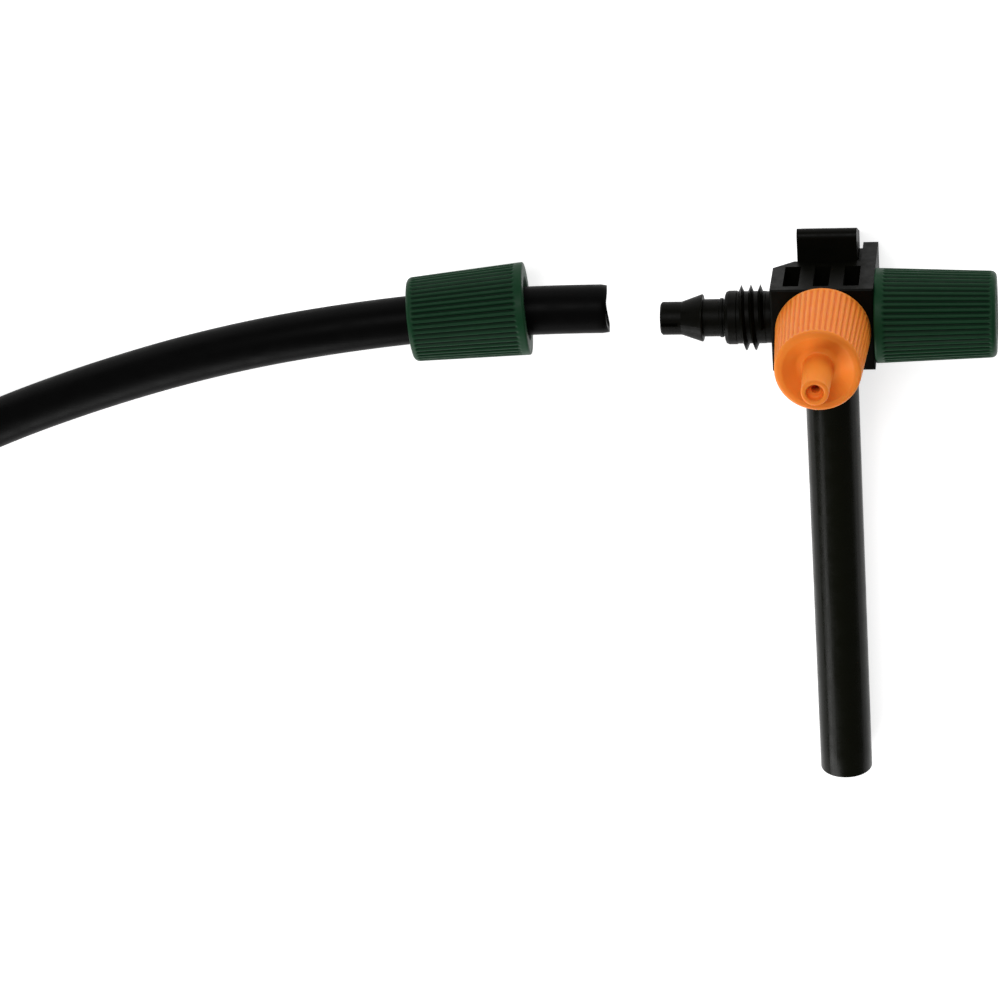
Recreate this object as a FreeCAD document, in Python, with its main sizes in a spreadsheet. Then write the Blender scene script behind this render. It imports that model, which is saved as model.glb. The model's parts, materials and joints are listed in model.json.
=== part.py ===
"""Barbed tee connector for 4/7 mm garden micro tube, with two hose nuts, an adjustable
nozzle cap, a riser pipe in a split sleeve behind the housing and a short piece of feed hose.

Millimetres, +Z up. Each piece is drawn about the centre of the tee's cross: X runs along the
two hose spigots, Y along the riser, Z along the nozzle. The tee lies on a surface with the
nozzle pointing up, and the last step moves every piece so that the surface is Z = 0.
"""

import FreeCAD, Part

import math
import os

import Sketcher

SIZES = {
    # housing
    "housing_left": 7.3,
    "housing_right": 7.1,
    "housing_half_height": 6.2,
    "housing_front": 4.85,
    "housing_back": 5.2,
    "corner_cut_x": 2.85,
    "corner_cut_z": 2.2,
    "web_inner": 4.45,
    "plate_corner": 0.7,
    "plate_gap": 0.55,
    "plate_gap_depth": 1.2,
    "mould_radius": 0.3,
    # coring pockets in the housing's upper and lower faces
    "pocket_first": 5.55,
    "pocket_width": 2.2,
    "pocket_pitch": 4.2,
    "pocket_front": 3.5,
    "pocket_back": 3.3,
    "pocket_floor": 2.9,
    # split sleeve for the riser
    "sleeve_half_width": 4.22,
    "sleeve_shift": 0.23,
    "sleeve_crown": 10.65,
    "sleeve_slope": 27,
    "sleeve_nose": 1.1,
    "sleeve_bore": 3.5,
    "sleeve_bore_top": 6.0,
    "sleeve_slot": 1.5,
    "sleeve_slot_depth": 2,
    # hose spigots, measured outwards from the housing's end faces
    "spigot_length": 15.85,
    "collar_radius": 3.65,
    "thread_start": 1.35,
    "thread_turns": 2.3,
    "thread_pitch": 1.33,
    "thread_root": 3.7,
    "thread_crest": 4.65,
    "thread_half_width": 0.41,
    "thread_end": 4.95,
    "boss_radius": 3.8,
    "boss_end": 6.7,
    "boss_round": 0.55,
    "neck_radius": 2.65,
    "ring_radius": 2.78,
    "ring_start": 6.95,
    "ring_end": 7.5,
    "ridge_radius": 3.35,
    "ridge_at": 9.85,
    "ridge_land": 0.2,
    "cone_end": 12.9,
    "pilot_radius": 2.35,
    "tip_round": 0.25,
    "notch_length": 2.5,
    "notch_half_width": 0.25,
    "notch_floor": 1.95,
    "water_bore": 1.5,
    # nozzle spigot, measured outwards from the housing's front face
    "nose_radius": 3.2,
    "nose_start": 5.0,
    "nose_end": 9.3,
    # hose nut
    "nut_length": 16.9,
    "nut_mouth_radius": 6.7,
    "nut_end_radius": 6.05,
    "nut_band": 1.2,
    "nut_edge": 0.8,
    "nut_minor": 4.05,
    "nut_groove": 4.8,
    "nut_groove_half_width": 0.38,
    "nut_thread_end": 6.6,
    "nut_thread_turns": 7.5,
    "inside_thread_lead": 3,
    "nut_cavity": 4.4,
    "nut_cavity_end": 14.2,
    "nut_throat": 3.75,
    "nut_throat_start": 14.8,
    "rib_count": 48,
    "rib_gap_radius": 0.3,
    "rib_end_gap": 1.1,
    # nozzle cap
    "cap_gap": 0.35,
    "cap_length": 13.0,
    "cap_base_radius": 6.7,
    "cap_front_radius": 6.0,
    "cap_rim": 1.05,
    "cap_bowl": 1.3,
    "cap_thread_end": 5.2,
    "cap_thread_turns": 7,
    "cap_rib_band": 0.35,
    "cap_rib_end_gap": 0.5,
    "cap_relief": 4.95,
    "cap_seal_bore": 4.2,
    "cap_seal_start": 5.9,
    "cap_seal_end": 9.8,
    "nub_length": 7.0,
    "nub_base_radius": 2.1,
    "nub_tip_radius": 1.9,
    "outlet_mouth": 1.2,
    "outlet_mouth_depth": 1.2,
    "outlet_bore": 0.6,
    # seal ring, flow core and end plug
    "seal_section": 0.48,
    "seal_centre": 7.0,
    "core_start": 3.0,
    "core_end": 9.0,
    "core_flute": 0.45,
    "needle_radius": 0.4,
    "needle_end": 14.0,
    "plug_start": 13.3,
    "plug_length": 3.45,
    "plug_floor": 0.85,
    "plug_radius": 3.6,
    "plug_bore": 2.5,
    "plug_flange": 4.1,
    "plug_flange_length": 0.8,
    # riser pipe and feed hose
    "riser_radius": 3.85,
    "riser_neck": 3.45,
    "riser_bore": 2.3,
    "riser_top": 5.9,
    "riser_bottom": 78.2,
    "riser_chamfer": 0.25,
    "hose_radius": 3.5,
    "hose_bore": 2.5,
    "surface": 12.3,
}

# The feed hose's route, from its cut end by the left spigot to its far end
HOSE_ROUTE = [
    (-31.3, -1.46, -6.88),
    (-45.0, -0.76, -5.42),
    (-67.0, -1.97, -3.6),
    (-88.0, -6.05, -4.6),
    (-109.0, -13.09, -7.2),
    (-129.0, -21.2, -8.78),
    (-147.0, -29.8, -8.78),
]
ARC_SHARE = 0.45

LEFT_NUT_MOUTH = (-43.0, -0.65, -5.58)
LEFT_NUT_YAW = 3.1
LEFT_NUT_PITCH = -4.7

doc = FreeCAD.newDocument("tee_connector")
sheet = doc.addObject("Spreadsheet::Sheet", "Sizes")
for row, (alias, number) in enumerate(SIZES.items(), start=1):
    sheet.set(f"A{row}", alias.replace("_", " "))
    sheet.set(f"B{row}", str(number))
    sheet.setAlias(f"B{row}", alias)
doc.recompute()


class Size:
    """A number together with the spreadsheet expression that gives it."""

    def __init__(self, value, text):
        self.value = value
        self.text = text

    def join(self, other, sign, value):
        return Size(value, f"({self.text} {sign} {other.text})")

    def __add__(self, other):
        other = size(other)
        return self.join(other, "+", self.value + other.value)

    def __radd__(self, other):
        return size(other) + self

    def __sub__(self, other):
        other = size(other)
        return self.join(other, "-", self.value - other.value)

    def __rsub__(self, other):
        return size(other) - self

    def __mul__(self, other):
        other = size(other)
        return self.join(other, "*", self.value * other.value)

    def __rmul__(self, other):
        return size(other) * self

    def __neg__(self):
        return Size(-self.value, f"(0 - {self.text})")


def size(item):
    """A Size from a spreadsheet alias, a plain number or a Size."""
    if isinstance(item, Size):
        return item
    if isinstance(item, str):
        return Size(SIZES[item], f"Sizes.{item}")
    return Size(item, repr(float(item)))


def bind(thing, path, item):
    """Sets one property of an object from the spreadsheet."""
    thing.setExpression(path, size(item).text)


def move(thing, place):
    for axis, distance in zip("xyz", place):
        bind(thing, f"Placement.Base.{axis}", distance)


def turn(thing, axis, angle):
    thing.Placement = FreeCAD.Placement(
        thing.Placement.Base, FreeCAD.Rotation(FreeCAD.Vector(*axis), angle)
    )


def box(name, low, high):
    """A Part::Box between two corners."""
    thing = doc.addObject("Part::Box", name)
    for side, a, b in zip(("Length", "Width", "Height"), low, high):
        bind(thing, side, size(b) - size(a))
    move(thing, low)
    return thing


def rod(name, radius, length, place=(0, 0, 0), along=None):
    """A Part::Cylinder along +Z, or turned to lie along +X or +Y."""
    thing = doc.addObject("Part::Cylinder", name)
    bind(thing, "Radius", radius)
    bind(thing, "Height", length)
    if along == "x":
        turn(thing, (0, 1, 0), 90)
    if along == "y":
        turn(thing, (1, 0, 0), -90)
    move(thing, place)
    return thing


def fuse(name, things):
    """Joins things one after another, because each join in turn is a simple one."""
    joined = things[0]
    for step, thing in enumerate(things[1:], start=1):
        both = doc.addObject("Part::Fuse", f"{name}_{step}")
        both.Base = joined
        both.Tool = thing
        joined = both
    return joined


def cut(name, base, tool):
    thing = doc.addObject("Part::Cut", name)
    thing.Base = base
    thing.Tool = tool
    return thing


def origin(body, role):
    """One of a body's own origin planes or axes."""
    return next(f for f in body.Origin.OriginFeatures if f.Role == role)


def outline(body, name, plane, corners):
    """A closed sketch of straight lines whose corners are bound to the spreadsheet."""
    sketch = body.newObject("Sketcher::SketchObject", name)
    sketch.AttachmentSupport = [(origin(body, plane), "")]
    sketch.MapMode = "FlatFace"
    points = [(size(a), size(b)) for a, b in corners]
    spots = [FreeCAD.Vector(a.value, b.value, 0) for a, b in points]
    for start, end in zip(spots, spots[1:] + spots[:1]):
        sketch.addGeometry(Part.LineSegment(start, end), False)
    count = len(points)
    for side in range(count):
        sketch.addConstraint(
            Sketcher.Constraint("Coincident", side, 2, (side + 1) % count, 1)
        )
    for side, (a, b) in enumerate(points):
        for kind, item in (("DistanceX", a), ("DistanceY", b)):
            number = sketch.addConstraint(
                Sketcher.Constraint(kind, -1, 1, side, 1, item.value)
            )
            sketch.setExpression(f"Constraints[{number}]", item.text)
    return sketch


def revolved(name, corners):
    """A body turned about Z, from an outline of (radius, height) corners."""
    body = doc.addObject("PartDesign::Body", name)
    sketch = outline(body, f"{name}_outline", "XZ_Plane", corners)
    turned = body.newObject("PartDesign::Revolution", f"{name}_turned")
    turned.Profile = sketch
    turned.ReferenceAxis = (sketch, ["V_Axis"])
    turned.Angle = 360
    doc.recompute()
    return body


def padded(name, plane, corners, width):
    """A body of an outline given an equal thickness to both sides of its plane."""
    body = doc.addObject("PartDesign::Body", name)
    sketch = outline(body, f"{name}_outline", plane, corners)
    pad = body.newObject("PartDesign::Pad", f"{name}_pad")
    pad.Profile = sketch
    pad.SideType = "Symmetric"
    bind(pad, "Length", width)
    doc.recompute()
    return body


def rounded(body, name, radius, wanted):
    """Fillets the edges of a body for which wanted(edge) is true."""
    tip = body.Tip
    names = [f"Edge{k}" for k, e in enumerate(tip.Shape.Edges, start=1) if wanted(e)]
    fillet = body.newObject("PartDesign::Fillet", name)
    fillet.Base = (tip, names)
    bind(fillet, "Radius", radius)
    doc.recompute()
    return body


def helix(body, kind, root, crest, half_width, start, turns):
    """A V-shaped screw thread about Z, added to a body or cut out of it."""
    name = f"{body.Name}_thread"
    middle = size(start)
    corners = [(root, middle - half_width), (crest, middle), (root, middle + half_width)]
    sketch = outline(body, f"{name}_section", "XZ_Plane", corners)
    thread = body.newObject(f"PartDesign::{kind}Helix", name)
    thread.Profile = sketch
    thread.ReferenceAxis = (sketch, ["V_Axis"])
    thread.Mode = "pitch-turns-angle"
    bind(thread, "Pitch", "thread_pitch")
    bind(thread, "Turns", turns)
    doc.recompute()
    return body


def ribbed(body, big, small, length, band, end_gap):
    """Cuts the fine grooves that leave rounded grip ribs along a tapered wall."""
    big, small, length, band = (size(item) for item in (big, small, length, band))
    draft = math.degrees(math.atan2(big.value - small.value, length.value))
    start = big - (big - small) * Size(
        band.value / length.value, f"({band.text} / {length.text})"
    )
    gap = body.newObject("PartDesign::SubtractiveCylinder", f"{body.Name}_gap")
    gap.AttachmentSupport = [(origin(body, "XY_Plane"), "")]
    gap.MapMode = "FlatFace"
    gap.AttachmentOffset = FreeCAD.Placement(
        FreeCAD.Vector(), FreeCAD.Rotation(FreeCAD.Vector(0, 1, 0), -draft)
    )
    bind(gap, "AttachmentOffset.Base.x", start)
    bind(gap, "AttachmentOffset.Base.z", band)
    bind(gap, "Radius", "rib_gap_radius")
    bind(gap, "Height", length - band - end_gap)
    doc.recompute()
    ring = body.newObject("PartDesign::PolarPattern", f"{body.Name}_ribs")
    ring.Originals = [gap]
    ring.Axis = (origin(body, "Z_Axis"), [""])
    ring.Angle = 360
    bind(ring, "Occurrences", "rib_count")
    body.Tip = ring
    doc.recompute()
    return body


def hose_spigot(name):
    """A threaded spigot with a barb: neck, thread, boss, neck, ridge, cone and pilot tip."""
    corners = [
        (0, 0),
        ("collar_radius", 0),
        ("collar_radius", size("thread_start") - 0.5),
        ("thread_root", size("thread_start") - 0.4),
        ("thread_root", "thread_end"),
        ("boss_radius", size("thread_end") + 0.1),
        ("boss_radius", size("boss_end") - "boss_round"),
        (size("boss_radius") - 0.16, size("boss_end") - 0.16),
        (size("boss_radius") - "boss_round", "boss_end"),
        ("neck_radius", "boss_end"),
        ("neck_radius", "ring_start"),
        ("ring_radius", size("ring_start") + 0.1),
        ("ring_radius", size("ring_end") - 0.1),
        ("neck_radius", "ring_end"),
        ("neck_radius", size("ridge_at") - 0.1),
        (size("ridge_radius") - 0.1, "ridge_at"),
        ("ridge_radius", size("ridge_at") + 0.1),
        ("ridge_radius", size("ridge_at") + "ridge_land"),
        ("pilot_radius", "cone_end"),
        ("pilot_radius", size("spigot_length") - "tip_round"),
        (size("pilot_radius") - "tip_round", "spigot_length"),
        (0, "spigot_length"),
    ]
    body = revolved(name, corners)
    return helix(
        body,
        "Additive",
        size("thread_root") - 0.05,
        "thread_crest",
        "thread_half_width",
        "thread_start",
        "thread_turns",
    )


def nozzle_spigot():
    """The threaded spigot under the nozzle cap, with a plain nose for the seal ring."""
    corners = [
        (0, 0),
        ("collar_radius", 0),
        ("collar_radius", size("thread_start") - 0.5),
        ("thread_root", size("thread_start") - 0.4),
        ("thread_root", size("nose_start") - 0.2),
        ("nose_radius", "nose_start"),
        ("nose_radius", size("nose_end") - "tip_round"),
        (size("nose_radius") - "tip_round", "nose_end"),
        (0, "nose_end"),
    ]
    body = revolved("nozzle_spigot", corners)
    return helix(
        body,
        "Additive",
        size("thread_root") - 0.05,
        "thread_crest",
        "thread_half_width",
        "thread_start",
        "thread_turns",
    )


def straight_edge(edge, axis, **places):
    """Whether an edge runs along an axis and passes through the given places."""
    near = 0.01
    extent = edge.BoundBox
    spans = {"x": extent.XLength, "y": extent.YLength, "z": extent.ZLength}
    if any(spans[other] > near for other in "xyz" if other != axis):
        return False
    centre = {"x": extent.Center.x, "y": extent.Center.y, "z": extent.Center.z}
    return all(abs(centre[key] - spot) < near for key, spot in places.items())


def housing():
    """The box that the three spigots stand on, with the side plate at its right end."""
    left, right = -size("housing_left"), size("housing_right")
    front, back = size("housing_front"), -size("housing_back")
    rear = -size("surface")
    corners = [
        (left, front),
        (right, front),
        (right, rear),
        ("web_inner", rear),
        ("web_inner", back),
        (left + "corner_cut_x", back),
        (left, back + "corner_cut_z"),
    ]
    body = padded("housing", "XZ_Plane", corners, size("housing_half_height") * 2)
    top = SIZES["housing_half_height"]

    def plate_corner(edge):
        return any(straight_edge(edge, "x", y=y, z=rear.value) for y in (-top, top))

    rounded(body, "plate_corners", "plate_corner", plate_corner)

    def front_rim(edge):
        return any(
            straight_edge(edge, "x", y=y, z=front.value) for y in (-top, top)
        ) or any(
            straight_edge(edge, "y", x=x, z=front.value)
            for x in (left.value, right.value)
        )

    return rounded(body, "front_rim", "mould_radius", front_rim)


def sleeve():
    """The block behind the housing that holds the riser, with a crowned, closed top."""
    back, rear = -size("housing_back"), -size("surface")
    bottom = -size("housing_half_height")
    slope = math.radians(SIZES["sleeve_slope"])
    top = size("sleeve_crown") + size("sleeve_nose") * (
        math.tan(slope) + 1 / math.cos(slope) - 1
    )
    corners = [
        (bottom, back),
        (top, back),
        (top - (back - rear) * math.tan(slope), rear),
        (bottom, rear),
    ]
    body = padded("sleeve", "YZ_Plane", corners, size("sleeve_half_width") * 2)
    move(body, ("sleeve_shift", 0, 0))

    def nose(edge):
        return straight_edge(edge, "x", y=top.value, z=back.value)

    return rounded(body, "sleeve_nose_round", "sleeve_nose", nose)


def tee_body():
    """The housing, sleeve and three spigots in one moulding, with its bores and pockets."""
    left = hose_spigot("left_spigot")
    turn(left, (0, 1, 0), -90)
    move(left, (-size("housing_left"), 0, 0))
    right = hose_spigot("right_spigot")
    turn(right, (0, 1, 0), 90)
    move(right, ("housing_right", 0, 0))
    front = nozzle_spigot()
    move(front, (0, 0, "housing_front"))
    solid = fuse("tee_solid", [housing(), sleeve(), left, right, front])

    run = size("housing_left") + "spigot_length" + 1
    cross = size("housing_left") + "housing_right" + size("spigot_length") * 2 + 2
    depth = size("housing_front") + "nose_end" + 1
    half = size("housing_half_height")
    tools = [
        rod("cross_bore", "water_bore", cross, (-run, 0, 0), along="x"),
        rod("nozzle_bore", "water_bore", depth, (0, 0, 0)),
        rod(
            "sleeve_hole",
            "sleeve_bore",
            half + "sleeve_bore_top" + 1,
            (0, -half - 1, size("riser_radius") - "surface"),
            along="y",
        ),
        box(
            "sleeve_slit",
            (-size("sleeve_slot"), -half - 1, -size("surface") - 1),
            ("sleeve_slot", "sleeve_bore_top", size("sleeve_slot_depth") - "surface"),
        ),
    ]
    tools.append(
        box(
            "plate_gap",
            ("web_inner", half - "plate_gap_depth", -size("surface") - 1),
            (size("web_inner") + "plate_gap", half + 1, -size("housing_back")),
        )
    )
    notch = size("notch_half_width")
    for side, end in {
        "left": -size("housing_left") - "spigot_length",
        "right": size("housing_right") + "spigot_length",
    }.items():
        inner = -1 if side == "right" else 1
        spots = (end + size("notch_length") * inner, end - inner)
        low, high = sorted(spots, key=lambda spot: spot.value)
        tools.append(
            box(f"{side}_tip_notch", (low, -notch, "notch_floor"), (high, notch, "ridge_radius"))
        )
    for side, (low, high) in {
        "upper": (size("pocket_floor"), half + 1),
        "lower": (-half - 1, -size("pocket_floor")),
    }.items():
        for k in range(3):
            start = -size("pocket_first") + size("pocket_pitch") * k
            tools.append(
                box(
                    f"{side}_pocket_{k + 1}",
                    (start, low, -size("pocket_back")),
                    (start + "pocket_width", high, "pocket_front"),
                )
            )
    return cut("tee_body", solid, fuse("tee_tools", tools))


def hose_nut(name):
    """A tapered nut with grip ribs, a screw thread at its mouth and a throat for the hose."""
    length = size("nut_length")
    edge = size("nut_edge")
    corners = [
        (size("nut_minor") + 0.6, 0),
        (size("nut_mouth_radius") - 0.25, 0),
        ("nut_mouth_radius", 0.25),
        (size("nut_end_radius") + 0.03, length - edge),
        (size("nut_end_radius") - 0.2, length - edge * 0.35),
        (size("nut_end_radius") - edge * 0.75, length),
        (size("nut_throat") + 0.3, length),
        ("nut_throat", length - 0.3),
        ("nut_throat", "nut_throat_start"),
        ("nut_cavity", "nut_cavity_end"),
        ("nut_cavity", "nut_thread_end"),
        ("nut_minor", size("nut_thread_end") - 0.4),
        ("nut_minor", 0.6),
    ]
    body = revolved(name, corners)
    helix(
        body,
        "Subtractive",
        size("nut_minor") - 0.1,
        "nut_groove",
        size("nut_groove_half_width") + 0.05,
        size("thread_start") - size("thread_pitch") * "inside_thread_lead",
        "nut_thread_turns",
    )
    return ribbed(
        body,
        "nut_mouth_radius",
        "nut_end_radius",
        length,
        "nut_band",
        "rib_end_gap",
    )


def nozzle_cap():
    """The ribbed cap with a dished face, a tapered nub and the water outlet through it."""
    length = size("cap_length")
    floor = length - "cap_bowl"
    tip = length + "nub_length"
    corners = [
        (size("nut_minor") + 0.6, 0),
        (size("cap_base_radius") - 0.2, 0),
        ("cap_base_radius", 0.2),
        (size("cap_front_radius") + 0.02, length - 0.6),
        (size("cap_front_radius") - 0.15, length - 0.15),
        (size("cap_front_radius") - 0.5, length),
        (size("cap_front_radius") - "cap_rim", length),
        (size("nub_base_radius") + 0.9, floor),
        ("nub_base_radius", floor),
        ("nub_tip_radius", tip - 0.2),
        (size("nub_tip_radius") - 0.2, tip),
        ("outlet_mouth", tip),
        ("outlet_mouth", tip - "outlet_mouth_depth"),
        ("outlet_bore", tip - "outlet_mouth_depth"),
        ("outlet_bore", "cap_seal_end"),
        ("cap_seal_bore", "cap_seal_end"),
        ("cap_seal_bore", "cap_seal_start"),
        ("cap_relief", "cap_seal_start"),
        ("cap_relief", "cap_thread_end"),
        ("nut_minor", size("cap_thread_end") - 0.4),
        ("nut_minor", 0.6),
    ]
    body = revolved("nozzle_cap", corners)
    helix(
        body,
        "Subtractive",
        size("nut_minor") - 0.1,
        "nut_groove",
        size("nut_groove_half_width") + 0.05,
        size("thread_start") - size("thread_pitch") * "inside_thread_lead" - "cap_gap",
        "cap_thread_turns",
    )
    return ribbed(
        body,
        "cap_base_radius",
        "cap_front_radius",
        length,
        "cap_rib_band",
        "cap_rib_end_gap",
    )


def nozzle_seal():
    """The rubber ring between the nozzle spigot's nose and the cap's bore."""
    ring = doc.addObject("Part::Torus", "nozzle_seal")
    clear = 0.02
    bind(ring, "Radius1", size("nose_radius") + "seal_section" + clear)
    bind(ring, "Radius2", size("seal_section") - clear)
    return ring


def flow_core():
    """The fluted core pressed into the nozzle spigot, whose needle meters the outlet."""
    plug = rod("core_plug", "water_bore", size("core_end") - "core_start")
    needle = rod("core_needle", "needle_radius", size("needle_end") - "core_start")
    flutes = []
    for k in range(3):
        angle = math.radians(120 * k)
        flute = rod(f"core_flute_{k + 1}", "core_flute", size("core_end") - "core_start")
        place = [size("water_bore") * value for value in (math.cos(angle), math.sin(angle))]
        move(flute, (*place, 0))
        flutes.append(flute)
    return cut("flow_core", fuse("core_solid", [plug, needle]), fuse("core_flutes", flutes))


def end_plug():
    """The blanking cup over the unused spigot's tip, held by the nut's throat."""
    length = size("plug_length")
    corners = [
        ("plug_bore", 0),
        ("plug_flange", 0),
        ("plug_flange", "plug_flange_length"),
        ("plug_radius", size("plug_flange_length") + 0.5),
        ("plug_radius", length - 0.3),
        (size("plug_radius") - 0.3, length),
        (0, length),
        (0, length - "plug_floor"),
        ("plug_bore", length - "plug_floor"),
    ]
    return revolved("end_plug", corners)


def riser_pipe():
    """The riser, drawn along Z from the neck in the sleeve to its square-cut lower end."""
    length = size("riser_top") + "riser_bottom"
    shoulder = size("riser_top") + "housing_half_height" + 0.1
    small = size("riser_chamfer")
    corners = [
        ("riser_bore", 0),
        (size("riser_neck") - small, 0),
        ("riser_neck", small),
        ("riser_neck", shoulder),
        ("riser_radius", shoulder),
        ("riser_radius", length - small),
        (size("riser_radius") - small, length),
        ("riser_bore", length),
    ]
    return revolved("riser_pipe", corners)


def hose_path():
    """The hose's centre line: straight runs joined by arcs as large as the runs allow."""
    points = [FreeCAD.Vector(*point) for point in HOSE_ROUTE]
    edges, start, radii = [], points[0], []
    for before, corner, after in zip(points, points[1:], points[2:]):
        back, ahead = before - corner, after - corner
        half_turn = (math.pi - back.getAngle(ahead)) / 2
        reach = ARC_SHARE * min(back.Length, ahead.Length)
        radius = reach / math.tan(half_turn)
        radii.append(radius)
        back.normalize()
        ahead.normalize()
        first, last = corner + back * reach, corner + ahead * reach
        inward = (back + ahead).normalize()
        middle = corner + inward * (radius / math.cos(half_turn) - radius)
        edges.append(Part.LineSegment(start, first).toShape())
        edges.append(Part.Arc(first, middle, last).toShape())
        start = last
    edges.append(Part.LineSegment(start, points[-1]).toShape())
    print("hose arc radii (mm):", [round(radius) for radius in radii])
    return Part.Wire(edges)


def feed_hose():
    """The hose, swept along its path, with its bore swept out of it."""
    wire = hose_path()
    path = doc.addObject("Part::Feature", "hose_path")
    path.Shape = wire
    start = wire.Edges[0].Curve.value(wire.Edges[0].FirstParameter)
    heading = wire.Edges[0].tangentAt(wire.Edges[0].FirstParameter)
    tubes = []
    for name, radius in (("hose_outside", "hose_radius"), ("hose_inside", "hose_bore")):
        ring = doc.addObject("Part::Circle", f"{name}_ring")
        bind(ring, "Radius", radius)
        ring.Placement = FreeCAD.Placement(
            start, FreeCAD.Rotation(FreeCAD.Vector(0, 0, 1), heading)
        )
        tube = doc.addObject("Part::Sweep", name)
        tube.Sections = [ring]
        tube.Spine = (path, [f"Edge{k + 1}" for k in range(len(wire.Edges))])
        tube.Solid = True
        tube.Frenet = False
        tubes.append(tube)
    hose = cut("feed_hose", *tubes)
    doc.recompute()
    section = math.pi * (SIZES["hose_radius"] ** 2 - SIZES["hose_bore"] ** 2)
    expected = section * wire.Length
    print(f"hose length {wire.Length:.1f} mm, volume {hose.Shape.Volume:.0f} of {expected:.0f} mm3")
    if abs(hose.Shape.Volume / expected - 1) > 0.01:
        raise RuntimeError("the hose's volume is not its section times its length")
    return hose


def heading_of(yaw, pitch):
    yaw, pitch = math.radians(yaw), math.radians(pitch)
    return FreeCAD.Vector(
        math.cos(yaw) * math.cos(pitch), math.sin(yaw) * math.cos(pitch), math.sin(pitch)
    )


def place(thing, spot, pointing=(0, 0, 1)):
    """Puts a piece's origin at a spot of the tee's frame, with its Z along pointing, and
    shifts it so that the object stands on Z = 0 over the middle of its base."""
    reach_left = SIZES["housing_left"] + SIZES["spigot_length"]
    reach_right = SIZES["housing_right"] + SIZES["nut_length"]
    middle = FreeCAD.Vector(
        (reach_right - reach_left) / 2,
        (SIZES["sleeve_crown"] - SIZES["riser_bottom"]) / 2,
        -SIZES["surface"],
    )
    turned = FreeCAD.Rotation(FreeCAD.Vector(0, 0, 1), FreeCAD.Vector(*pointing))
    thing.Placement = FreeCAD.Placement(FreeCAD.Vector(*spot) - middle, turned)
    return thing


def build():
    front = SIZES["housing_front"]
    riser_z = SIZES["riser_radius"] - SIZES["surface"]
    plug_x = SIZES["housing_right"] + SIZES["plug_start"]
    backwards = -heading_of(LEFT_NUT_YAW, LEFT_NUT_PITCH)
    return [
        place(tee_body(), (0, 0, 0)),
        place(hose_nut("left_nut"), LEFT_NUT_MOUTH, backwards),
        place(hose_nut("right_nut"), (SIZES["housing_right"], 0, 0), (1, 0, 0)),
        place(end_plug(), (plug_x, 0, 0), (1, 0, 0)),
        place(nozzle_cap(), (0, 0, front + SIZES["cap_gap"])),
        place(nozzle_seal(), (0, 0, front + SIZES["seal_centre"])),
        place(flow_core(), (0, 0, front + SIZES["core_start"])),
        place(riser_pipe(), (0, SIZES["riser_top"], riser_z), (0, -1, 0)),
        place(feed_hose(), (0, 0, 0)),
    ]


def check(pieces):
    doc.recompute()
    for thing in doc.Objects:
        if {"Invalid", "Error"} & set(thing.State):
            raise RuntimeError(f"{thing.Name} failed: {thing.State}")
    for piece in pieces:
        if piece.Shape.isNull() or not piece.Shape.isValid():
            raise RuntimeError(f"{piece.Name} has no valid shape")
        if len(piece.Shape.Solids) != 1:
            raise RuntimeError(f"{piece.Name} has {len(piece.Shape.Solids)} solids")


pieces = build()
check(pieces)
os.makedirs("parts", exist_ok=True)
for piece in pieces:
    piece.Shape.exportStep(f"parts/{piece.Label}.step")
    print(f"{piece.Label}: {piece.Shape.Volume:.1f} mm3")
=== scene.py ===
import json
import math

import bpy
from mathutils import Matrix, Vector


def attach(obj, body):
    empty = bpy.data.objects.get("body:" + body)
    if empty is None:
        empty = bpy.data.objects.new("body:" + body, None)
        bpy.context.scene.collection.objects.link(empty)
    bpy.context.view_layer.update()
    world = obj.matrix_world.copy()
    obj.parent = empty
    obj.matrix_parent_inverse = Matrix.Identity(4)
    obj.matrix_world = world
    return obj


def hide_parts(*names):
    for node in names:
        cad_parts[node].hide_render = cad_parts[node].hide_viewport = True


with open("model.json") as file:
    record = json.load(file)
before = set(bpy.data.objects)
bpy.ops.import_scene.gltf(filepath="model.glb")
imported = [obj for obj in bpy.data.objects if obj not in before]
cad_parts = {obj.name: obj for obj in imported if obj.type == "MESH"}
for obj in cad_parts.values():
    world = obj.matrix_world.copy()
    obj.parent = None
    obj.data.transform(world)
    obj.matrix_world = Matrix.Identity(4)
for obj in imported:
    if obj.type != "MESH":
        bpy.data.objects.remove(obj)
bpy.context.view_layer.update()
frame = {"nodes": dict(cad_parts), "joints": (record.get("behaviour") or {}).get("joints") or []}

MM = 0.001
RIB_COUNT = 48
THREAD_PITCH = 1.33 * MM
HOSE_RADIUS = 3.5 * MM
HOSE_BORE = 2.5 * MM
AROUND_RIBS = RIB_COUNT * 8
AROUND_RISER = 96
AROUND_HOSE = 72
GRAIN = 0.35 * MM
DIE_LINE_STRETCH = 0.02
LIT_SPOT = (-0.03, 0, 0)

# The hose's route from its cut end, in metres from the middle of the tee's cross
HOSE_ROUTE = [
    (-0.0313, -0.00146, -0.00688),
    (-0.0450, -0.00076, -0.00542),
    (-0.0670, -0.00197, -0.0036),
    (-0.0880, -0.00605, -0.0046),
    (-0.1090, -0.01309, -0.0072),
    (-0.1290, -0.0212, -0.00878),
    (-0.1470, -0.0298, -0.00878),
]

joints = {joint["name"]: joint for joint in frame["joints"]}
cross_x = joints["nozzle_cap_screw"]["pos_m"][0]
cross_y, cross_z = joints["right_nut_screw"]["pos_m"][1:]
CROSS = Vector((cross_x, cross_y, cross_z))


# ---------------------------------------------------------------- materials


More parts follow.
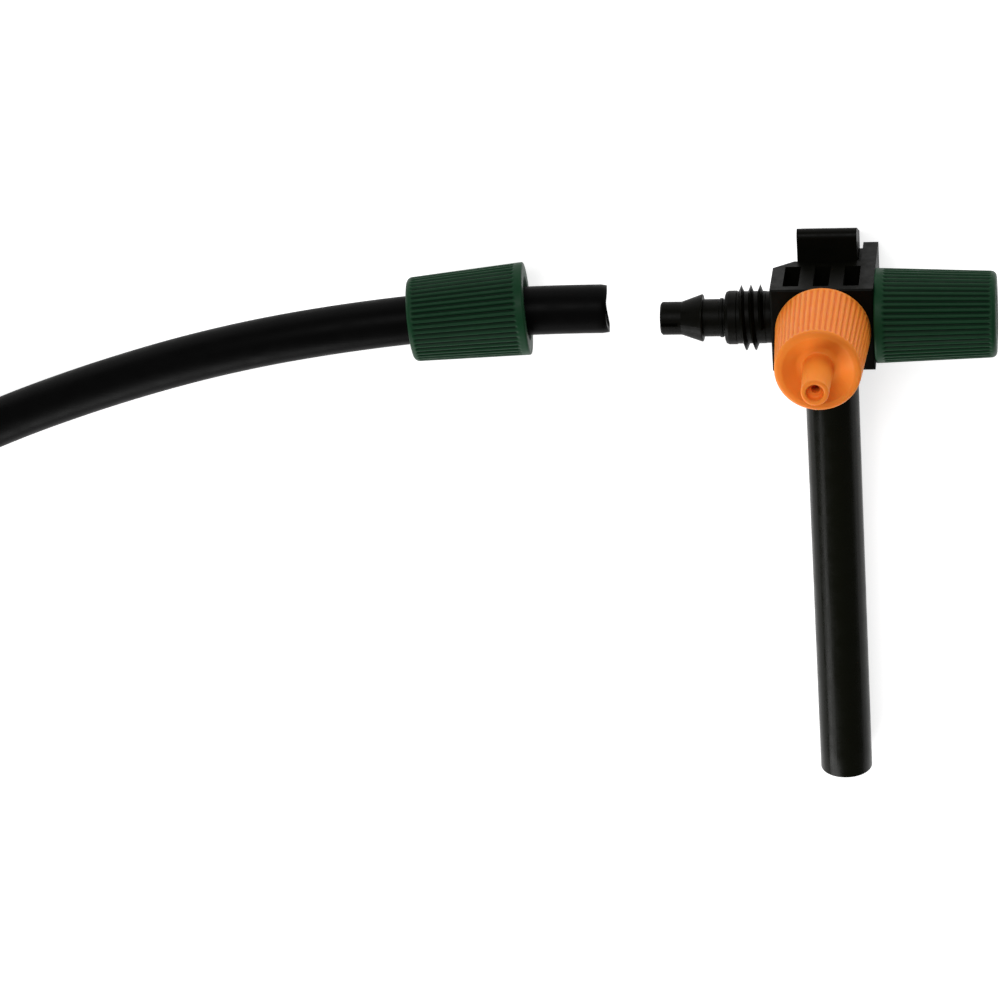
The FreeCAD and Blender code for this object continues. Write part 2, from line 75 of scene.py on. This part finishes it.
class Recipe:
    """A node material being put together, with texture sizes in metres of the object."""

    def __init__(self, name):
        self.material = bpy.data.materials.new(name)
        self.material.use_nodes = True
        self.nodes = self.material.node_tree.nodes
        self.links = self.material.node_tree.links
        self.shader = self.nodes["Principled BSDF"]
        self.place = self.nodes.new("ShaderNodeTexCoord").outputs["Object"]

    def set(self, name, value):
        socket = self.shader.inputs[name]
        if isinstance(value, bpy.types.NodeSocket):
            self.links.new(value, socket)
        else:
            socket.default_value = value

    def stretched(self, factors):
        """Object coordinates scaled along X, Y and Z."""
        node = self.nodes.new("ShaderNodeMapping")
        self.links.new(self.place, node.inputs["Vector"])
        node.inputs["Scale"].default_value = factors
        return node.outputs["Vector"]

    def noise(self, grain, detail=3.0, place=None):
        """Cloudy noise whose features are about grain metres across."""
        node = self.nodes.new("ShaderNodeTexNoise")
        self.links.new(place or self.place, node.inputs["Vector"])
        node.inputs["Scale"].default_value = 1 / grain
        node.inputs["Detail"].default_value = detail
        return node.outputs["Fac"]

    def attribute(self, name):
        node = self.nodes.new("ShaderNodeAttribute")
        node.attribute_name = name
        return node.outputs["Fac"]

    def remap(self, value, low, high, out_low, out_high):
        node = self.nodes.new("ShaderNodeMapRange")
        self.links.new(value, node.inputs["Value"])
        for name, number in (
            ("From Min", low), ("From Max", high), ("To Min", out_low), ("To Max", out_high)
        ):
            node.inputs[name].default_value = number
        return node.outputs["Result"]

    def mix(self, factor, first, second):
        """Blends two colours, each a tuple or a socket."""
        node = self.nodes.new("ShaderNodeMix")
        node.data_type = "RGBA"
        self.links.new(factor, node.inputs["Factor"])
        for socket, colour in zip(
            (s for s in node.inputs if s.type == "RGBA"), (first, second)
        ):
            if isinstance(colour, bpy.types.NodeSocket):
                self.links.new(colour, socket)
            else:
                socket.default_value = (*colour, 1.0)
        return next(s for s in node.outputs if s.type == "RGBA")

    def bump(self, height, depth, below=None):
        """Adds relief of the given depth in metres, over an earlier bump if there is one."""
        node = self.nodes.new("ShaderNodeBump")
        self.links.new(height, node.inputs["Height"])
        node.inputs["Distance"].default_value = depth
        if below is not None:
            self.links.new(below, node.inputs["Normal"])
        return node.outputs["Normal"]


def moulded(name, light, dark, roughness, relief, shine, patch=4 * MM):
    """Injection-moulded plastic: a faint grain, uneven gloss and slightly patchy colour."""
    recipe = Recipe(name)
    recipe.base = recipe.mix(recipe.noise(patch), dark, light)
    recipe.set("Base Color", recipe.base)
    gloss = recipe.noise(1.2 * MM, detail=5)
    recipe.set("Roughness", recipe.remap(gloss, 0.3, 0.7, roughness - 0.06, roughness + 0.08))
    recipe.set("Normal", recipe.bump(recipe.noise(GRAIN), relief))
    recipe.set("Specular IOR Level", shine)
    return recipe


def ribbed_plastic(name, light, dark, groove, roughness, shine):
    """Moulded plastic with painted shade in the grooves between the ribs: the groove colour,
    darker than the base, is mixed in by how deep in a groove each point is.
    """
    recipe = moulded(name, light, dark, roughness, 0.01 * MM, shine, patch=5 * MM)
    # Painted shade: the darker groove colour fills the grooves by their depth.
    recipe.set("Base Color", recipe.mix(recipe.attribute("groove"), recipe.base, groove))
    return recipe


def extruded(name, colour, roughness, direction, shine, bands):
    """Extruded tube: gloss with fine die lines along its length."""
    recipe = Recipe(name)
    factors = [1.0, 1.0, 1.0]
    factors[direction] = DIE_LINE_STRETCH
    lines = recipe.noise(GRAIN, detail=2, place=recipe.stretched(factors))
    broad = recipe.noise(1.6 * MM, detail=2, place=recipe.stretched(factors))
    recipe.set("Base Color", (*colour, 1.0))
    recipe.set("Specular IOR Level", shine)
    cloud = recipe.noise(2.5 * MM, detail=4)
    recipe.set("Roughness", recipe.remap(cloud, 0.3, 0.7, roughness - 0.05, roughness + 0.07))
    recipe.set("Normal", recipe.bump(lines, 0.01 * MM, recipe.bump(broad, bands)))
    return recipe


# ---------------------------------------------------------------- turned pieces


def corner_arc(before, corner, after, radius, steps):
    """Points of a round corner between two straight sides of an outline."""
    back = (before - corner).normalized()
    ahead = (after - corner).normalized()
    half = back.angle(ahead) / 2
    reach = radius / math.tan(half)
    middle = corner + (back + ahead).normalized() * (radius / math.sin(half))
    first = corner + back * reach - middle
    last = corner + ahead * reach - middle
    begin = math.atan2(first.y, first.x)
    sweep = math.remainder(math.atan2(last.y, last.x) - begin, math.tau)
    angles = [begin + sweep * k / steps for k in range(steps + 1)]
    return [middle + radius * Vector((math.cos(a), math.sin(a))) for a in angles]


def smooth_outline(corners, steps=4):
    """An outline of (radius, height, rounding) corners, in millimetres, as points in metres."""
    spots = [Vector((r, z)) * MM for r, z, _ in corners]
    points = []
    count = len(spots)
    for k, (_, _, rounding) in enumerate(corners):
        if rounding:
            before, after = spots[k - 1], spots[(k + 1) % count]
            points += corner_arc(before, spots[k], after, rounding * MM, steps)
        else:
            points.append(spots[k])
    return points


def divided(points, longest):
    """A closed outline with its long sides cut into pieces no longer than longest."""
    result = []
    for first, last in zip(points, points[1:] + points[:1]):
        pieces = max(1, math.ceil((last - first).length / longest))
        result += [first.lerp(last, k / pieces) for k in range(pieces)]
    return result


def turned_mesh(name, outline, around, shape, place):
    """A closed ring of the outline about Z, put in place by a matrix. shape(radius, height,
    angle) gives the true radius and how deep in a groove the point is, from 0 to 1."""
    verts, depths = [], []
    for k in range(around):
        angle = math.tau * k / around
        for radius, height in outline:
            true_radius, depth = shape(radius, height, angle)
            spot = Vector(
                (true_radius * math.cos(angle), true_radius * math.sin(angle), height)
            )
            verts.append(place @ spot)
            depths.append(depth)
    count = len(outline)
    faces = []
    for k in range(around):
        this, other = k * count, (k + 1) % around * count
        for j in range(count):
            nxt = (j + 1) % count
            faces.append((this + j, other + j, other + nxt, this + nxt))
    mesh = bpy.data.meshes.new(name)
    mesh.from_pydata(verts, [], faces)
    # The groove depth drives the painted shade in the grooves of the ribbed materials.
    mesh.attributes.new("groove", "FLOAT", "POINT").data.foreach_set("value", depths)
    mesh.update()
    return mesh


def add_piece(name, mesh, recipe, body, node):
    """Puts a smooth mesh in the scene in place of a CAD node."""
    mesh.shade_smooth()
    mesh.materials.append(recipe.material)
    piece = bpy.data.objects.new(name, mesh)
    bpy.context.scene.collection.objects.link(piece)
    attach(piece, body)
    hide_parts(node)
    return piece


def axis_place(node, along):
    """Where a round CAD node stands: a matrix that turns +Z to along and starts at the
    node's lower end, on its axis."""
    along = Vector(along).normalized()
    turn = Vector((0, 0, 1)).rotation_difference(along).to_matrix()
    side, other = turn.col[0], turn.col[1]
    spots = [vertex.co for vertex in frame["nodes"][node].data.vertices]

    def middle(direction):
        reach = [spot.dot(direction) for spot in spots]
        return (min(reach) + max(reach)) / 2

    start = min(spot.dot(along) for spot in spots)
    centre = along * start + side * middle(side) + other * middle(other)
    return Matrix.Translation(centre) @ turn.to_4x4()


def ramp(value, low, high):
    """0 below low, 1 above high, and smooth between."""
    t = min(1.0, max(0.0, (value - low) / (high - low)))
    return t * t * (3 - 2 * t)


def window(value, rise, fall):
    """1 between two ramps and 0 outside them, each ramp a (low, high) pair in millimetres."""
    low, high = (ramp(value, start * MM, end * MM) for start, end in (rise, fall))
    return low * (1 - high)


def rib_wave(angle):
    """0 on top of a rounded grip rib, 1 at the bottom of the narrow groove beside it."""
    return (0.5 - 0.5 * math.cos(angle * RIB_COUNT)) ** 2


def thread_wave(height, angle, start):
    """0 on the crest between two turns of an inside thread, 1 at the groove's bottom."""
    turn = (height - start - THREAD_PITCH * angle / math.tau) / THREAD_PITCH
    return 1 - abs(turn - round(turn)) * 2


def nut_mesh(name, place):
    """A hose nut: grip ribs between a plain band and a rounded end, a thread inside. Its
    thread and throat are a little wider than the solid's, to clear a curved hose."""
    outline = divided(
        smooth_outline([
            (4.65, 0, 0.1), (6.7, 0, 0.25), (6.05, 16.9, 0.8), (4.05, 16.9, 0.0),
            (3.9, 16.6, 0.0), (3.9, 14.8, 0.0), (4.4, 14.2, 0.0), (4.4, 6.6, 0.0),
            (4.13, 6.2, 0.0), (4.13, 1.2, 0.0),
        ]),
        0.16 * MM,
    )
    rib_depth = 0.3 * MM
    thread_depth = 0.67 * MM
    thread_from = 0.25 * MM
    skin = 5.5 * MM
    thread_wall = (4.1 * MM, 4.2 * MM)

    def shape(radius, height, angle):
        if radius > skin:
            wave = rib_wave(angle) * window(height, (1.1, 1.6), (15.7, 16.3))
            return radius - rib_depth * wave, wave
        if thread_wall[0] < radius < thread_wall[1]:
            groove = max(0.0, thread_wave(height, angle, thread_from)) * thread_depth
            return radius + groove * window(height, (1.2, 1.6), (5.7, 6.2)), 0.0
        return radius, 0.0

    return turned_mesh(name, outline, AROUND_RIBS, shape, place)


def cap_mesh(place):
    """The nozzle cap: ribbed side, dished face and a tapered nub with the outlet in it."""
    outline = divided(
        smooth_outline([
            (4.65, 0, 0.1), (6.7, 0, 0.2), (6.0, 13.0, 0.5), (4.95, 13.0, 0.6),
            (3.0, 11.7, 0.9), (2.1, 11.7, 0.3), (1.9, 20.0, 0.25), (1.2, 20.0, 0.2),
            (1.2, 18.8, 0.3), (0.6, 18.8, 0.1), (0.6, 9.8, 0.0), (4.2, 9.8, 0.0),
            (4.2, 5.9, 0.0), (4.95, 5.9, 0.0),
            (4.95, 5.2, 0.0),
            (4.05, 4.8, 0.0), (4.05, 0.6, 0.0),
        ]),
        0.2 * MM,
    )
    rib_depth = 0.22 * MM
    skin = 5.6 * MM
    face = 12.9 * MM

    def shape(radius, height, angle):
        if radius > skin and height < face:
            wave = rib_wave(angle) * window(height, (0.3, 0.7), (12.1, 12.7))
            return radius - rib_depth * wave, wave
        return radius, 0.0

    return turned_mesh("nozzle_cap_skin", outline, AROUND_RIBS, shape, place)


def riser_mesh(place):
    """The riser tube, square-cut at its lower end."""
    outline = divided(
        smooth_outline([
            (2.3, 0, 0.1), (3.45, 0, 0.2), (3.45, 12.2, 0.0), (3.85, 12.2, 0.1),
            (3.85, 84.1, 0.2), (2.3, 84.1, 0.15),
        ]),
        4 * MM,
    )

    def shape(radius, height, angle):
        return radius, 0.0

    return turned_mesh("riser_tube", outline, AROUND_RISER, shape, place)


# ---------------------------------------------------------------- hose


def route_points(points):
    """The NURBS spline through a cord's control points, as a list of points along it."""
    curve = bpy.data.curves.new("route", "CURVE")
    curve.dimensions = "3D"
    curve.resolution_u = 24
    spline = curve.splines.new("NURBS")
    spline.points.add(len(points) - 1)
    for spot, point in zip(spline.points, points):
        spot.co = (*(CROSS + Vector(point)), 1.0)
    spline.order_u = 3
    spline.use_endpoint_u = True
    holder = bpy.data.objects.new("route", curve)
    mesh = bpy.data.meshes.new_from_object(holder)
    path = [vertex.co.copy() for vertex in mesh.vertices]
    bpy.data.objects.remove(holder)
    bpy.data.curves.remove(curve)
    bpy.data.meshes.remove(mesh)
    return path


def hose_mesh(path):
    """A hollow tube along the path, with a rough hand-made cut at its first end."""
    headings = [
        (after - before).normalized()
        for before, after in zip(path[:1] + path[:-1], path[1:] + path[-1:])
    ]
    verts, faces = [], []

    def ring(k, radius, slip=0.0):
        heading = headings[k]
        side = heading.cross(Vector((0, 0, 1))).normalized()
        up = side.cross(heading)
        for j in range(AROUND_HOSE):
            angle = math.tau * j / AROUND_HOSE
            radial = side * math.cos(angle) + up * math.sin(angle)
            verts.append(path[k] + radial * radius + heading * slip * cut_wave(angle))

    end_slip, next_slip = 0.55 * MM, 0.3 * MM
    inner_bevel, outer_bevel = 0.15 * MM, 0.12 * MM
    rings = [(0, HOSE_BORE + inner_bevel, end_slip), (0, HOSE_RADIUS - outer_bevel, end_slip)]
    rings += [(1, HOSE_RADIUS, next_slip)]
    rings += [(k, HOSE_RADIUS, 0.0) for k in range(2, len(path) - 1)]
    rings += [(len(path) - 1, HOSE_RADIUS, 0.0), (len(path) - 1, HOSE_BORE, 0.0)]
    rings += [(k, HOSE_BORE, 0.0) for k in range(len(path) - 2, 1, -1)]
    for k, radius, slip in rings:
        ring(k, radius, slip)
    count = len(rings)
    for k in range(count):
        this, other = k * AROUND_HOSE, (k + 1) % count * AROUND_HOSE
        for j in range(AROUND_HOSE):
            nxt = (j + 1) % AROUND_HOSE
            faces.append((this + j, this + nxt, other + nxt, other + j))
    mesh = bpy.data.meshes.new("feed_hose_tube")
    mesh.from_pydata(verts, [], faces)
    mesh.update()
    return mesh


def cut_wave(angle):
    """How far the rough cut stands back around the hose's end, from 0 to 1."""
    return 0.66 + 0.32 * math.cos(angle) - 0.34 * math.cos(2 * angle)


# ---------------------------------------------------------------- pieces

TEE_BLACK = moulded(
    "tee_black", (0.0026, 0.0026, 0.0014), (0.0015, 0.0015, 0.0009), 0.42, 0.01 * MM, 0.055
)
# The third colour of each ribbed plastic is painted shade for the grooves between its ribs.
NUT_GREEN = ribbed_plastic(
    "nut_green", (0.007, 0.045, 0.017), (0.005, 0.034, 0.013), (0.001, 0.011, 0.004), 0.45, 0.1
)
CAP_ORANGE = ribbed_plastic(
    "cap_orange", (0.88, 0.26, 0.032), (0.84, 0.235, 0.026), (0.74, 0.165, 0.014), 0.44, 0.15
)
CAP_ORANGE.set("Subsurface Weight", 0.35)
CAP_ORANGE.set("Subsurface Radius", (1.0, 0.3, 0.08))
CAP_ORANGE.set("Subsurface Scale", 1.2 * MM)
HOSE_BLACK = extruded("hose_black", (0.0022, 0.0022, 0.0022), 0.4, 0, 0.03, 0.01 * MM)
RISER_BLACK = extruded("riser_black", (0.0036, 0.004, 0.0018), 0.26, 1, 0.08, 0.06 * MM)
RUBBER = moulded(
    "seal_rubber", (0.006, 0.006, 0.006), (0.004, 0.004, 0.004), 0.7, 0.004 * MM, 0.1
)
CORE_BLACK = moulded(
    "core_black", (0.005, 0.005, 0.005), (0.004, 0.004, 0.004), 0.5, 0.004 * MM, 0.1
)
PLUG_BLACK = moulded(
    "plug_black", (0.004, 0.004, 0.004), (0.003, 0.003, 0.003), 0.45, 0.004 * MM, 0.1
)

for node, recipe in (
    ("tee_body", TEE_BLACK), ("nozzle_seal", RUBBER), ("flow_core", CORE_BLACK),
    ("end_plug", PLUG_BLACK),
):
    thing = frame["nodes"][node]
    thing.data.materials.clear()
    thing.data.materials.append(recipe.material)

head = Vector(joints["left_nut_slide"]["axis"])
left_nut = add_piece(
    "left_nut_skin", nut_mesh("left_nut_skin", axis_place("left_nut", -head)), NUT_GREEN,
    "left_nut", "left_nut",
)
add_piece(
    "right_nut_skin", nut_mesh("right_nut_skin", axis_place("right_nut", (1, 0, 0))), NUT_GREEN,
    "right_nut", "right_nut",
)
add_piece(
    "nozzle_cap_skin", cap_mesh(axis_place("nozzle_cap", (0, 0, 1))), CAP_ORANGE,
    "nozzle_cap", "nozzle_cap",
)
add_piece(
    "riser_tube", riser_mesh(axis_place("riser_pipe", (0, -1, 0))), RISER_BLACK,
    "riser", "riser_pipe",
)
path = route_points(HOSE_ROUTE)
hose = add_piece("feed_hose_tube", hose_mesh(path), HOSE_BLACK, "tee", "feed_hose")

# ---------------------------------------------------------------- stage


def floor():
    """A plain pale floor, wide enough to fill every view."""
    half = 3.0
    mesh = bpy.data.meshes.new("floor")
    corners = [(-half, -half, 0), (half, -half, 0), (half, half, 0), (-half, half, 0)]
    mesh.from_pydata(corners, [], [(0, 1, 2, 3)])
    mesh.update()
    recipe = Recipe("floor_white")
    cloud = recipe.noise(0.3)
    recipe.set("Base Color", recipe.mix(cloud, (0.78, 0.78, 0.78), (0.82, 0.82, 0.82)))
    recipe.set("Roughness", 0.9)
    recipe.set("Specular IOR Level", 0.1)
    recipe.set("Emission Color", (1.0, 1.0, 1.0, 1.0))
    recipe.set("Emission Strength", 0.7)
    mesh.materials.append(recipe.material)
    piece = bpy.data.objects.new("floor", mesh)
    bpy.context.scene.collection.objects.link(piece)


def area_light(name, spot, size, power):
    """A white area light at a spot measured from the cross, turned towards the tee."""
    light = bpy.data.lights.new(name, "AREA")
    light.shape = "RECTANGLE"
    light.size, light.size_y = size
    light.energy = power
    lamp = bpy.data.objects.new(name, light)
    lamp.location = CROSS + Vector(spot)
    towards = Vector(LIT_SPOT) - Vector(spot)
    lamp.rotation_euler = towards.to_track_quat("-Z", "Y").to_euler()
    bpy.context.scene.collection.objects.link(lamp)


def studio():
    world = bpy.data.worlds.new("studio")
    world.use_nodes = True
    background = world.node_tree.nodes["Background"]
    background.inputs["Color"].default_value = (1.0, 1.0, 1.0, 1.0)
    background.inputs["Strength"].default_value = 0.2
    bpy.context.scene.world = world
    area_light("key", (-0.1, 0.5, 0.65), (0.6, 0.3), 3.1)
    area_light("fill", (-0.4, -0.6, 0.3), (0.6, 0.35), 5.2)
    bpy.context.scene.view_settings.view_transform = "Standard"


def camera():
    """A long lens high above the tee, beyond its upper end and turned back to it."""
    lens = bpy.data.cameras.new("camera")
    lens.lens = 144
    lens.clip_start = 0.01
    eye = bpy.data.objects.new("camera", lens)
    eye.location = CROSS + Vector((0.03686, 0.23194, 0.51352))
    eye.rotation_euler = [math.radians(angle) for angle in (-27.198, 7.325, -4.162)]
    bpy.context.scene.collection.objects.link(eye)
    bpy.context.scene.camera = eye


floor()
studio()
camera()
